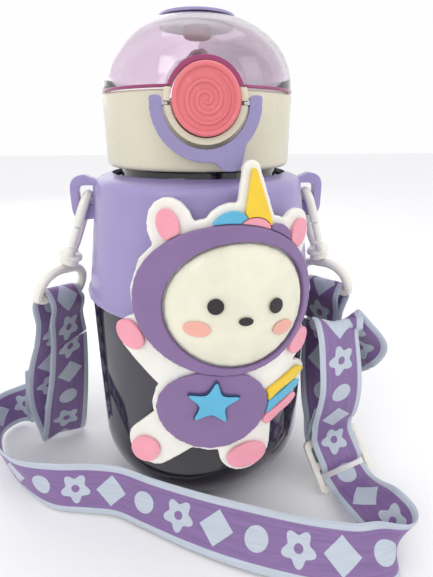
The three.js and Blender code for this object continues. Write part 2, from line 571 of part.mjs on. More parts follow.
for (const [name, side] of [['left', -1], ['right', 1]]) {
  const place = new THREE.Group();
  place.position.set(side * hangX, 0, hangZ);
  place.rotation.y = THREE.MathUtils.degToRad(-side * HOOK_LEAN[name]);
  object.add(place);
  add(`${name}_hook`, hookBody(), IVORY, place);
  add(`${name}_hook_gate`, gateBody(), IVORY, place);
  const { loop, stem } = ringBody();
  const ring = add(`${name}_strap_ring`, join(loop, stem), IVORY, place);
  ring.rotation.z = THREE.MathUtils.degToRad(RING_TURN[name]);
}

// ---- Strap ----------------------------------------------------------------------------------
// Webbing laid along a centre line. Each entry is a point and the direction across the width.
function ribbon(route, steps) {
  const points = route.map(([point]) => new THREE.Vector3(...point));
  const sides = route.map(([, side]) => new THREE.Vector3(...side).normalize());
  const line = new THREE.CatmullRomCurve3(points, false, 'centripetal');
  const across = new THREE.CatmullRomCurve3(sides);
  const geometry = new THREE.BoxGeometry(STRAP_WIDTH, STRAP_THICKNESS, 1, 1, 1, steps);
  const corners = geometry.attributes.position;
  for (let i = 0; i < corners.count; i++) {
    const t = THREE.MathUtils.clamp(corners.getZ(i) + 0.5, 0, 1);
    const tangent = line.getTangent(t);
    const side = across.getPoint(t);
    side.addScaledVector(tangent, -side.dot(tangent)).normalize();
    const up = new THREE.Vector3().crossVectors(tangent, side);
    const point = line.getPoint(t);
    point.addScaledVector(side, corners.getX(i)).addScaledVector(up, corners.getY(i));
    corners.setXYZ(i, point.x, point.y, point.z);
  }
  return geometryOf(solid(geometry));
}

const SLIDER_ACROSS = [0.955, 0.255, 0.147];
const LEFT_BAR = [0.78, 0.6, -0.17];
const RIGHT_BAR = [0.45, -0.88, 0.12];
const RIGHT_END = [0.45, -0.88, 0];
const LEFT_TOP_ROUTE = [
  [[-69, 2, 72.6], [0.84, 0.5, -0.2]], [[-69.2, -1, 86], LEFT_BAR],
  [[-68.3, -3.9, 97.6], LEFT_BAR], [[-70.5, 0.8, 103.8], LEFT_BAR], [[-74.6, 4, 97.6], LEFT_BAR],
  [[-74.6, 6, 86], LEFT_BAR], [[-75.6, 9.2, 72.6], [0.84, 0.5, -0.2]],
];
const LEFT_DROP_ROUTE = [
  [[-69, 2.3, 71.8], [0.84, 0.5, -0.2]], [[-70.2, 7, 52], [0.92, 0.35, -0.1]],
  [[-73, 13, 27], [0.97, 0.05, 0]], [[-75, 18.6, 8], [0.98, -0.1, 0]],
  [[-76, 22.2, 2.3], [0.98, -0.14, 0]], [[-76.8, 26, 7], [0.98, -0.1, 0]],
  [[-79.6, 23.5, 27], [0.97, 0, 0]], [[-79, 16, 52], [0.92, 0.3, -0.1]],
  [[-75.7, 9.4, 71.8], [0.84, 0.5, -0.2]],
];
const MAIN_ROUTE = [
  [[-87, 12.8, 54], [0.72, 0.65, -0.1]], [[-91.2, 19.1, 33], [0.86, 0.46, 0.1]],
  [[-98.3, 25.4, 21], [0.72, 0.42, 0.55]], [[-107.5, 31.5, 15], [0.3, 0.2, 0.93]],
  [[-117, 31, 13.4], [-0.1, 0.02, 1]], [[-123.2, 22, 13.4], [-0.12, -0.03, 1]],
  [[-120.5, 7, 13.3], [-0.1, -0.15, 0.98]],
  [[-109, -13, 13], [-0.06, -0.3, 0.95]], [[-95, -28, 13], [-0.02, -0.2, 0.97]],
  [[-76, -37.5, 13], [-0.02, 0.2, 0.97]], [[-58, -40.5, 13], [0.05, 0.3, 0.95]],
  [[-44, -44, 13], [0.12, 0.28, 0.95]], [[-29, -52.5, 12.8], [0.18, 0.28, 0.94]],
  [[-6, -64.2, 12], [0.22, 0.45, 0.86]], [[19, -74, 10.4], [0.15, 0.7, 0.7]],
  [[45, -83, 10.2], [0.1, 0.74, 0.66]], [[64, -87.5, 11.4], [0.2, 0.66, 0.72]],
  [[76.5, -84.5, 13.4], [0.48, 0.35, 0.8]], [[80.5, -75.5, 13.2], [0.66, -0.05, 0.74]],
  [[77.4, -64, 12.4], [0.78, -0.1, 0.55]], [[75.4, -54, 9.6], [0.9, 0.1, 0.3]],
  [[74.4, -44.4, 6.9], SLIDER_ACROSS], [[72.6, -38.5, 8.7], SLIDER_ACROSS],
];
const RIGHT_TOP_ROUTE = [
  [[65.6, -0.5, 78.3], RIGHT_END], [[65.3, -0.7, 86], RIGHT_BAR], [[63.8, -2.1, 96.4], RIGHT_BAR],
  [[67.4, 0, 103], RIGHT_BAR], [[71.2, 2.1, 96.4], RIGHT_BAR], [[68.4, 0.9, 86], RIGHT_BAR],
  [[67.6, 0.6, 78.3], RIGHT_END],
];
const RIGHT_DROP_ROUTE = [
  [[65.6, -0.5, 77.2], RIGHT_END], [[65.6, -1, 71.5], RIGHT_END],
  [[66.2, -5.5, 60], [0.66, -0.75, 0]], [[66.8, -13, 43], [0.9, -0.35, 0.05]],
  [[67.2, -17.2, 30], [0.95, 0.12, 0.1]], [[66.6, -21.8, 20.3], SLIDER_ACROSS],
  [[68.9, -26.6, 13.1], SLIDER_ACROSS], [[70.4, -30.1, 9.7], SLIDER_ACROSS],
  [[71.7, -33.6, 6.8], SLIDER_ACROSS],
];
const RIGHT_FOLD_ROUTE = [
  [[66, -33, 48], [0.95, 0.2, 0.05]], [[66.3, -28.6, 36], [0.97, 0.15, 0.1]],
  [[66.2, -25.6, 29.4], SLIDER_ACROSS], [[66.2, -23.7, 24.4], SLIDER_ACROSS],
  [[67, -24.5, 20.8], SLIDER_ACROSS], [[69.2, -29.1, 14.6], SLIDER_ACROSS],
  [[70.7, -32.4, 10.5], SLIDER_ACROSS], [[71.6, -35.7, 10.3], SLIDER_ACROSS],
  [[71.3, -36.6, 13.9], SLIDER_ACROSS], [[69.8, -33.6, 18.2], SLIDER_ACROSS],
  [[67.6, -29.2, 24.6], SLIDER_ACROSS], [[66.8, -29.8, 31], SLIDER_ACROSS],
  [[66.4, -32.4, 38.5], [0.97, 0.15, 0.1]], [[66, -35.8, 49.5], [0.95, 0.2, 0.05]],
  [[65.2, -37.8, 62], [0.92, 0.3, 0]], [[63.6, -37.2, 76], [0.9, 0.35, 0]],
  [[62.6, -34.5, 87], [0.88, 0.4, 0]], [[63, -29.8, 91.5], [0.88, 0.42, 0]],
  [[65.2, -25, 89.5], [0.85, 0, 0.1]], [[76.6, -23.4, 82.5], [0.72, -0.6, 0.15]],
  [[83.5, -17.5, 73], [0.6, -0.78, 0.15]], [[82, -12, 65.5], [0.55, -0.82, 0.1]],
  [[81.5, -8, 61.4], [0.5, -0.85, 0.1]], [[77.8, -4, 62.4], [0.48, -0.87, 0.1]],
  [[72.4, -0.2, 66], [0.46, -0.88, 0.05]], [[69, 1.1, 71], RIGHT_END], [[67.9, 1, 77], RIGHT_END],
];
// A route turned about the upright line through the left ring's bar.
function withRing(route) {
  const pivot = new THREE.Vector3(-71.7, 0, 0);
  const turn = new THREE.Matrix4().makeRotationZ(THREE.MathUtils.degToRad(27));
  return route.map(([point, side]) => [
    new THREE.Vector3(...point).sub(pivot).applyMatrix4(turn).add(pivot).toArray(),
    new THREE.Vector3(...side).applyMatrix4(turn).toArray(),
  ]);
}
add('strap_left_top', ribbon(withRing(LEFT_TOP_ROUTE), 20), WEBBING);
add('strap_left_drop', ribbon(withRing(LEFT_DROP_ROUTE), 28), WEBBING);
add('strap_main', ribbon(MAIN_ROUTE, 60), WEBBING);
add('strap_right_top', ribbon(RIGHT_TOP_ROUTE, 20), WEBBING);
add('strap_right_drop', ribbon(RIGHT_DROP_ROUTE, 20), WEBBING);
add('strap_right_fold', ribbon(RIGHT_FOLD_ROUTE, 56), WEBBING);

// The slider leans back on the table with the webbing woven through its two slots.
const SLIDER = { centre: [70.6, -33.4, 13.3], rise: [-0.22, 0.59, 0.78] };
const SLIDER_SIZE = { width: 33, height: 27, bar: 4, thickness: 2.6 };
function slider() {
  const w = SLIDER_SIZE.width / 2;
  const h = SLIDER_SIZE.height / 2;
  const corner = 3;
  const outline = new THREE.Shape();
  outline.moveTo(-w + corner, -h);
  outline.lineTo(w - corner, -h);
  outline.absarc(w - corner, -h + corner, corner, -Math.PI / 2, 0);
  outline.absarc(w - corner, h - corner, corner, 0, Math.PI / 2);
  outline.absarc(-w + corner, h - corner, corner, Math.PI / 2, Math.PI);
  outline.absarc(-w + corner, -h + corner, corner, Math.PI, 1.5 * Math.PI);
  const inner = (STRAP_WIDTH + 1.4) / 2;
  const slots = [[SLIDER_SIZE.bar / 2, h - SLIDER_SIZE.bar], [-h + SLIDER_SIZE.bar, -SLIDER_SIZE.bar / 2]];
  for (const [foot, top] of slots) {
    const slot = new THREE.Path([[-inner, foot], [-inner, top], [inner, top], [inner, foot]]
      .map(([x, y]) => new THREE.Vector2(x, y)));
    outline.holes.push(slot);
  }
  const plate = extruded(outline, { depth: SLIDER_SIZE.thickness, curveSegments: 4 });
  plate.translate(0, 0, -SLIDER_SIZE.thickness / 2);
  const across = new THREE.Vector3(...SLIDER_ACROSS).normalize();
  const rise = new THREE.Vector3(...SLIDER.rise);
  rise.addScaledVector(across, -rise.dot(across)).normalize();
  const face = new THREE.Vector3().crossVectors(across, rise);
  plate.applyMatrix4(new THREE.Matrix4().makeBasis(across, rise, face).setPosition(...SLIDER.centre));
  return geometryOf(solid(plate));
}
add('strap_slider', slider(), IVORY);

// ---- Soft figure on the front ----------------------------------------------------------------
// Drawn flat as (s, z): s is the arc length round the sleeve from the front line, z the height.
const charmRadius = SLEEVE_FOOT_RADIUS + LIP_PROUD + CHARM_CLEARANCE;
const charmBack = (z) => charmRadius - CHARM_TOP_LEAN * Math.max(0, z - SLEEVE_FOOT_Z - LIP_HEIGHT);

function wrapped(geometry, lift = () => 0, edge = 11) {
  const fine = new TessellateModifier(edge, 30).modify(geometry.index ? geometry.toNonIndexed() : geometry);
  const corners = fine.attributes.position;
  for (let i = 0; i < corners.count; i++) {
    const s = corners.getX(i);
    const z = corners.getY(i);
    const depth = corners.getZ(i) + lift(s, z);
    const angle = s / charmRadius;
    const radius = charmBack(z) + depth;
    corners.setXYZ(i, radius * Math.sin(angle), -radius * Math.cos(angle), z);
  }
  return geometryOf(solid(fine));
}

const HEAD = { s: 7.6, z: 116, a: 36.4, b: 30.2, tilt: -7 };
const FACE = { s: 11.2, z: 114.2, a: 28.4, b: 25.4 };
const turn = THREE.MathUtils.degToRad(HEAD.tilt);
// A place from a centre, in axes tilted with the head.
const tilted = (centre) => (u, v) => [
  centre.s + u * Math.cos(turn) - v * Math.sin(turn),
  centre.z + u * Math.sin(turn) + v * Math.cos(turn),
];
const onHead = tilted(HEAD);

function ellipse(s, z, a, b, tilt = 0) {
  const shape = new THREE.Shape();
  shape.absellipse(s, z, a, b, 0, 2 * Math.PI, false, THREE.MathUtils.degToRad(tilt));
  return shape;
}
// A rounded bar from one point to another.
function capsule([s0, z0], [s1, z1], r0, r1 = r0) {
  const angle = Math.atan2(z1 - z0, s1 - s0);
  const shape = new THREE.Shape();
  shape.absarc(s0, z0, r0, angle + Math.PI / 2, angle + 1.5 * Math.PI);
  shape.absarc(s1, z1, r1, angle - Math.PI / 2, angle + Math.PI / 2);
  return shape;
}
const loopOf = (points) => {
  const shape = new THREE.Shape();
  const corners = points.map(([s, z]) => new THREE.Vector3(s, z, 0));
  const curve = new THREE.CatmullRomCurve3(corners, true, 'centripetal');
  const outline = curve.getPoints(points.length * 4).slice(0, -1);
  shape.setFromPoints(outline.map((p) => new THREE.Vector2(p.x, p.y)));
  return shape;
};
// A star with rounded points.
function star(s, z, outer, inner, tilt) {
  return loopOf(Array.from({ length: 10 }, (_, i) => {
    const a = THREE.MathUtils.degToRad(90 + tilt + 36 * i);
    const r = i % 2 ? inner : outer;
    return [s + r * Math.cos(a), z + r * Math.sin(a)];
  }));
}
const slab = (shape, from, to, curveSegments = 16) =>
  extruded(shape, { depth: to - from, curveSegments }).translate(0, 0, from);

const layerFoot = CHARM_PLATE + GAP;
const layerTop = layerFoot + CHARM_LAYER;
const LEFT_EAR = onHead(-25, 26);
const RIGHT_EAR = onHead(25.5, 26);
const HORN_FOOT = onHead(6, 31);
const HORN_TIP = [15.6, 164.5];
const TUMMY = { s: 0.8, z: 69, a: 22.6, b: 19 };
const shapes = {
  head: (grow) => ellipse(HEAD.s, HEAD.z, HEAD.a + grow, HEAD.b + grow, HEAD.tilt),
  leftEar: (grow) => ellipse(...LEFT_EAR, 6.2 + grow, 8.4 + grow, 14),
  rightEar: (grow) => ellipse(...RIGHT_EAR, 6.2 + grow, 8.4 + grow, -26),
  horn: (grow) => capsule(HORN_FOOT, HORN_TIP, 5.6 + grow, 0.9 + grow),
  lockLeft: (grow) => ellipse(...onHead(-4.5, 29.5), 6.8 + grow, 4.8 + grow, 24),
  lockMiddle: (grow) => ellipse(...onHead(5.2, 28), 6.4 + grow, 5 + grow, -6),
  lockRight: (grow) => ellipse(...onHead(15.6, 26.4), 5.8 + grow, 4.6 + grow, -34),
  body: (grow) => ellipse(TUMMY.s, TUMMY.z, TUMMY.a + grow, TUMMY.b + grow, -3),
  leftArm: (grow) => capsule([-16, 88], [-29, 100.5], 6.6 + grow, 6.2 + grow),
  rightArm: (grow) => capsule([24, 84], [38, 92], 6.4 + grow, 6 + grow),
  leftLeg: (grow) => capsule([-13, 60], [-26.5, 47.5], 9 + grow, 8 + grow),
  rightLeg: (grow) => capsule([14, 58], [15, 45.5], 10.5 + grow, 9.2 + grow),
  tail: (grow) => loopOf([
    [24, 60 - grow], [33, 61 - grow], [41, 66 - grow / 2], [46 + grow, 75], [42, 80 + grow / 2],
    [33, 78 + grow], [25, 74 + grow],
  ]),
};

const baseSlabs = Object.values(shapes).map((shape) => slab(shape(CHARM_MARGIN), 0, CHARM_PLATE, 8));
add('charm_base', wrapped(join(...baseSlabs)), WHITE_PVC);

// The hood is a shell with the face standing in its middle.
const hoodRing = slab(shapes.head(0), layerFoot, layerTop + 0.8, 20);
const faceHole = ellipse(FACE.s, FACE.z, FACE.a + GAP, FACE.b + GAP, HEAD.tilt);
add('charm_hood', wrapped(cut(hoodRing, slab(faceHole, 0, FAR, 20))), PURPLE_PVC);

// Height of the domed face above the base plate.
const faceFoot = layerFoot;
function faceHeight(s, z) {
  const u = (s - FACE.s) * Math.cos(turn) + (z - FACE.z) * Math.sin(turn);
  const v = -(s - FACE.s) * Math.sin(turn) + (z - FACE.z) * Math.cos(turn);
  return Math.sqrt(Math.max(0, 1 - (u / FACE.a) ** 2 - (v / FACE.b) ** 2));
}
function face() {
  const closed = turned([[0, 0], [1, 0], ...arc(0, 0, 1, 12, 78, 5), [0, 1]], 28);
  closed.scale(FACE.a, FACE.b, FACE_RISE + CHARM_LAYER).rotateZ(turn).translate(FACE.s, FACE.z, faceFoot);
  return wrapped(closed);
}
add('charm_face', face(), FACE_PVC);

// Small parts that lie on the face follow its dome.
const onFace = (s, z) => faceFoot + (FACE_RISE + CHARM_LAYER) * faceHeight(s, z) + GAP;
const facePlace = tilted(FACE);
function facePart(name, shape, thickness, material) {
  add(name, wrapped(slab(shape, 0, thickness, 8), onFace, 3.6), material);
}
facePart('charm_eye_left', ellipse(...facePlace(-10.5, 2.4), 2.7, 3.1), 0.7, DARK_PVC);
facePart('charm_eye_right', ellipse(...facePlace(10.5, 2.4), 2.7, 3.1), 0.7, DARK_PVC);
facePart('charm_nose', ellipse(...facePlace(0, -3), 2.5, 1.7, HEAD.tilt), 0.8, DARK_PVC);
facePart('charm_cheek_left', ellipse(...facePlace(-15.5, -7.4), 4.6, 3.2, HEAD.tilt), 0.5, SALMON_PVC);
facePart('charm_cheek_right', ellipse(...facePlace(15.5, -7.4), 4.6, 3.2, HEAD.tilt), 0.5, SALMON_PVC);

// Coloured parts set on the base plate. Each one is cut back where the head covers it.
const cutter = (shape, segments) => slab(shape, 0, FAR, segments);
const headCut = cutter(shapes.head(GAP), 20);
function inlay(name, shape, material, others = []) {
  const body = slab(shape, layerFoot, layerTop, 10);
  add(name, wrapped(cut(body, headCut, ...others)), material);
}
inlay('charm_ear_left', ellipse(...onHead(-25.6, 27.4), 4, 6, 14), PINK_PVC);
inlay('charm_ear_right', ellipse(...onHead(26, 27.4), 4, 6, -26), PINK_PVC);
const lockCuts = ['lockLeft', 'lockMiddle', 'lockRight'].map((key) => cutter(shapes[key](GAP), 10));
inlay('charm_horn', shapes.horn(0), YELLOW_PVC, lockCuts);
inlay('charm_lock_left', shapes.lockLeft(0), BLUE_PVC, [lockCuts[1]]);
inlay('charm_lock_middle', shapes.lockMiddle(0), PINK_PVC);
inlay('charm_lock_right', shapes.lockRight(0), PURPLE_PVC, [lockCuts[1]]);
inlay('charm_body', shapes.body(0), PURPLE_PVC);
const badgeFoot = layerTop + GAP;
const badgeTop = badgeFoot + 0.5;
const starTop = badgeTop + GAP + 0.5;
add('charm_star_border', wrapped(slab(star(0.5, 73.6, 10.8, 5.9, -8), badgeFoot, badgeTop)), NAVY_PVC);
add('charm_star', wrapped(slab(star(0.5, 73.6, 10, 5.1, -8), badgeTop + GAP, starTop)), BLUE_PVC);
inlay('charm_paw_left', ellipse(-31, 101.6, 5.4, 6.8, 42), PINK_PVC);
inlay('charm_paw_right', ellipse(39.6, 92.4, 5.2, 6.4, -52), PINK_PVC);
inlay('charm_foot_left', ellipse(-28, 45.8, 6, 7.4, -44), PINK_PVC);
inlay('charm_foot_right', ellipse(15, 43, 8.8, 6.4, 0), PINK_PVC);
const bodyCut = cutter(shapes.body(GAP * 2), 16);
const stripeColours = [['yellow', YELLOW_PVC], ['blue', BLUE_PVC], ['pink', PINK_PVC]];
stripeColours.forEach(([colour, material], row) => {
  const drop = -6 * row;
  const stripe = loopOf([
    [22, 73 + drop], [31, 76.6 + drop], [40 - row, 79 + drop], [44.6 - 2.4 * row, 76.4 + drop],
    [39 - row, 74 + drop], [30, 72 + drop], [23, 68.8 + drop],
  ]);
  add(`charm_tail_${colour}`, wrapped(cut(slab(stripe, layerFoot, layerTop), bodyCut)), material);
});

export default object;
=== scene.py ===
"""Looks for a child's water bottle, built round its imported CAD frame.

Metres, +Z up, front facing -Y. Turned pieces, the strap and the button get fine meshes of their
own; the small moulded pieces keep their CAD solids, softened by modifiers.
"""
import json
import math

import bmesh
import bpy
from mathutils import Matrix, Vector


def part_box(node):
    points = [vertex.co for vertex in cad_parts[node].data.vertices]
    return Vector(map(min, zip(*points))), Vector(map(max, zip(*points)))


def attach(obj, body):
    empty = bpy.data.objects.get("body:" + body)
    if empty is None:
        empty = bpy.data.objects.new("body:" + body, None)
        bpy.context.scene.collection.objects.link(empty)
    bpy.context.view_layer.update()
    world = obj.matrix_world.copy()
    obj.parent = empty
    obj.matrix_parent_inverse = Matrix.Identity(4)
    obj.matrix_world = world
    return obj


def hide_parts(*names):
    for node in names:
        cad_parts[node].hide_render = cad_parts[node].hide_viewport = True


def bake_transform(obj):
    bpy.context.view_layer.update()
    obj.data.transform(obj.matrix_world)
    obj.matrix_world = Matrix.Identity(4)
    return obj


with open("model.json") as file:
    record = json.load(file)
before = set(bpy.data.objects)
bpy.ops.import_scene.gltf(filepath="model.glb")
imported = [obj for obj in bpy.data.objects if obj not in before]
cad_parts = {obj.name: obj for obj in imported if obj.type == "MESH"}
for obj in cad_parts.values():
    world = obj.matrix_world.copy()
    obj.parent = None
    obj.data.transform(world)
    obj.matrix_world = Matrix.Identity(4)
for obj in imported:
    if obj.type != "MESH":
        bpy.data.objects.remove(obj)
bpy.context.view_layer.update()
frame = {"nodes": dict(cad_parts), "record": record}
nodes = frame["nodes"]
MM = 0.001
FULL_TURN = 2 * math.pi


# ---- Camera, light and floor ----------------------------------------------------------------
def make_camera():
    data = bpy.data.cameras.new("camera")
    data.lens = 26.25
    data.sensor_width = 36
    data.clip_start = 0.01
    camera = bpy.data.objects.new("camera", data)
    camera.location = (-0.01308, -0.20427, 0.17817)
    camera.rotation_euler = (math.radians(69.17), 0, math.radians(-6))
    bpy.context.collection.objects.link(camera)
    bpy.context.scene.camera = camera


def make_lamp(name, place, target, size, power):
    data = bpy.data.lights.new(name, "AREA")
    data.shape = "RECTANGLE"
    data.size, data.size_y = size
    data.energy = power
    lamp = bpy.data.objects.new(name, data)
    lamp.location = place
    lamp.rotation_euler = (Vector(target) - Vector(place)).to_track_quat("-Z", "Y").to_euler()
    bpy.context.collection.objects.link(lamp)


def make_studio():
    middle = (0, 0, 0.12)
    make_lamp("key", (-0.55, -0.75, 0.75), middle, (0.5, 0.5), 1.7)
    make_lamp("side", (0.75, -0.35, 0.45), middle, (0.35, 0.7), 0.6)
    make_lamp("top", (0.05, 0.15, 0.95), middle, (0.7, 0.5), 0.9)
    make_lamp("back", (-0.3, 0.85, 0.5), middle, (0.8, 0.5), 0.9)
    world = bpy.data.worlds.new("studio")
    world.use_nodes = True
    background = world.node_tree.nodes["Background"]
    background.inputs["Color"].default_value = (0.99, 0.99, 1, 1)
    background.inputs["Strength"].default_value = 1.0
    bpy.context.scene.world = world
    bpy.context.scene.view_settings.view_transform = "Standard"
    bpy.context.scene.view_settings.look = "None"


def make_floor():
    bpy.ops.mesh.primitive_plane_add(size=6, location=(0, 0, -0.0004))
    floor = bpy.context.object
    floor.name = "floor"
    paint = Paint("floor_paint", (0.9, 0.9, 0.91), 0.6)
    floor.data.materials.append(paint.material)


# ---- Materials ------------------------------------------------------------------------------
def linear(red, green, blue):
    """Linear colour of 8-bit sRGB values."""
    def one(value):
        value /= 255
        return value / 12.92 if value <= 0.04045 else ((value + 0.055) / 1.055) ** 2.4
    return (one(red), one(green), one(blue))


def scaled(color, factor):
    return tuple(min(1, c * factor) for c in color)


class Paint:
    """A principled material, with short calls for the nodes that give it its detail."""

    def __init__(self, name, color, roughness, **sockets):
        self.material = bpy.data.materials.new(name)
        self.material.use_nodes = True
        self.material.diffuse_color = (*color, 1)
        self.tree = self.material.node_tree
        self.shader = self.tree.nodes["Principled BSDF"]
        self.color = color
        self.shader.inputs["Base Color"].default_value = (*color, 1)
        self.shader.inputs["Roughness"].default_value = roughness
        for socket, value in sockets.items():
            self.shader.inputs[socket.replace("_", " ")].default_value = value
        self.last_normal = None

    def add(self, kind, settings=(), **inputs):
        node = self.tree.nodes.new(kind)
        for key, value in dict(settings).items():
            setattr(node, key, value)
        for key, value in inputs.items():
            self.put(node.inputs[key.replace("_", " ")], value)
        return node

    def put(self, socket, value):
        if isinstance(value, bpy.types.NodeSocket):
            self.tree.links.new(value, socket)
        else:
            socket.default_value = value

    def math(self, operation, *values, clamp=False):
        node = self.add("ShaderNodeMath", {"operation": operation, "use_clamp": clamp})
        for socket, value in zip(node.inputs, values):
            self.put(socket, value)
        return node.outputs[0]

    def place(self):
        """Object coordinates, which are metres in the frame."""
        return self.add("ShaderNodeTexCoord").outputs["Object"]

    def noise(self, scale, detail=3, roughness=0.5, distortion=0.0, vector=None):
        return self.add("ShaderNodeTexNoise", Scale=scale, Detail=detail, Roughness=roughness,
                        Distortion=distortion, Vector=vector or self.place()).outputs["Fac"]

    def spread(self, value, low, high, to_low, to_high):
        node = self.add("ShaderNodeMapRange")
        for key, number in zip(("Value", "From Min", "From Max", "To Min", "To Max"),
                               (value, low, high, to_low, to_high)):
            self.put(node.inputs[key], number)
        return node.outputs["Result"]

    def mix(self, share, first, second, blend="MIX"):
        node = self.add("ShaderNodeMix", {"data_type": "RGBA", "blend_type": blend})
        for index, value in ((0, share), (6, first), (7, second)):
            if isinstance(value, tuple):
                value = (*value, 1)
            self.put(node.inputs[index], value)
        return node.outputs[2]

    def bump(self, height, distance, strength=1.0):
        node = self.add("ShaderNodeBump", Height=height, Distance=distance, Strength=strength)
        if self.last_normal:
            self.put(node.inputs["Normal"], self.last_normal)
        self.last_normal = node.outputs["Normal"]
        self.put(self.shader.inputs["Normal"], self.last_normal)

    def roughen(self, scale, low, high):
        value = self.spread(self.noise(scale, 4), 0.3, 0.7, low, high)
        self.put(self.shader.inputs["Roughness"], value)

    def mottle(self, scale, darker, lighter, edge_highlight=0.0):
        """Slow colour variation, and a painted highlight that makes convex edges paler."""
        share = self.spread(self.noise(scale, 3), 0.3, 0.7, 0, 1)
        color = self.mix(share, scaled(self.color, darker), scaled(self.color, lighter))
        # painted highlight: convex edges, found by pointiness, are lightened to stand in for light
        # catching them
        if edge_highlight:
            point = self.add("ShaderNodeNewGeometry").outputs["Pointiness"]
            highlit = self.spread(point, 0.52, 0.62, 0, edge_highlight)
            color = self.mix(highlit, color, scaled(self.color, 1.35))
        self.put(self.shader.inputs["Base Color"], color)


def plastic(name, color, roughness=0.32, coat=0.25, soft=0.05):
    """Injection-moulded plastic with a fine spark-eroded grain."""
    paint = Paint(name, color, roughness, Coat_Weight=coat, Coat_Roughness=0.12,
                  Subsurface_Weight=soft, Subsurface_Scale=0.003, IOR=1.49)
    # edges get a painted highlight through mottle
    paint.mottle(60, 0.965, 1.03, edge_highlight=0.35)
    paint.roughen(240, roughness - 0.05, roughness + 0.07)
    paint.bump(paint.noise(5200, 2), 0.00002, 0.6)
    paint.bump(paint.noise(85, 2), 0.00022, 0.25)
    return paint.material


def soft_pvc(name, color, roughness=0.42):
    """Soft moulded PVC: slightly waxy, with tiny specks and a faint bloom."""
    paint = Paint(name, color, roughness, Subsurface_Weight=0.12, Subsurface_Scale=0.004,
                  Specular_IOR_Level=0.45, Coat_Weight=0.08, Coat_Roughness=0.3,
                  Sheen_Weight=0.06, Sheen_Roughness=0.4)
    # edges get a painted highlight through mottle
    paint.mottle(90, 0.95, 1.04, edge_highlight=0.2)
    paint.roughen(310, roughness - 0.07, roughness + 0.1)
    paint.bump(paint.noise(2600, 3), 0.00005, 0.5)
    paint.bump(paint.noise(120, 2), 0.0003, 0.3)
    return paint.material


def silicone(name, color, roughness=0.5, clear=0.0):
    paint = Paint(name, color, roughness, Subsurface_Weight=0.25, Subsurface_Scale=0.004,
                  Sheen_Weight=0.12, Sheen_Roughness=0.35, Transmission_Weight=clear, IOR=1.41)
    paint.mottle(140, 0.94, 1.05)
    paint.roughen(400, roughness - 0.06, roughness + 0.1)
    paint.bump(paint.noise(1500, 3), 0.00004, 0.5)
    return paint.material


def clear_plastic(name, tint, roughness=0.03, wave=0.0004):
    """Tinted clear plastic, with the slow waves that moulding leaves in its walls."""
    paint = Paint(name, tint, roughness, Transmission_Weight=1.0, IOR=1.5,
                  Coat_Weight=0.4, Coat_Roughness=0.02, Specular_IOR_Level=0.6)
    paint.mottle(30, 0.88, 1.12)
    paint.roughen(90, max(0.0, roughness - 0.02), roughness + 0.04)
    paint.bump(paint.noise(26, 2, distortion=0.6), wave, 0.5)
    return paint.material


def steel(name):
    paint = Paint(name, (0.6, 0.6, 0.62), 0.28, Metallic=1.0, Anisotropic=0.4)
    paint.mottle(300, 0.85, 1.1)
    paint.roughen(900, 0.2, 0.38)
    paint.bump(paint.noise(3000, 2), 0.00001, 0.5)
    return paint.material


WEB_WIDTH = 0.025
WEB_STRIPE = 0.0031               # pale border along each edge of the webbing
PRINT_STEP = 0.0182               # from one printed shape to the next


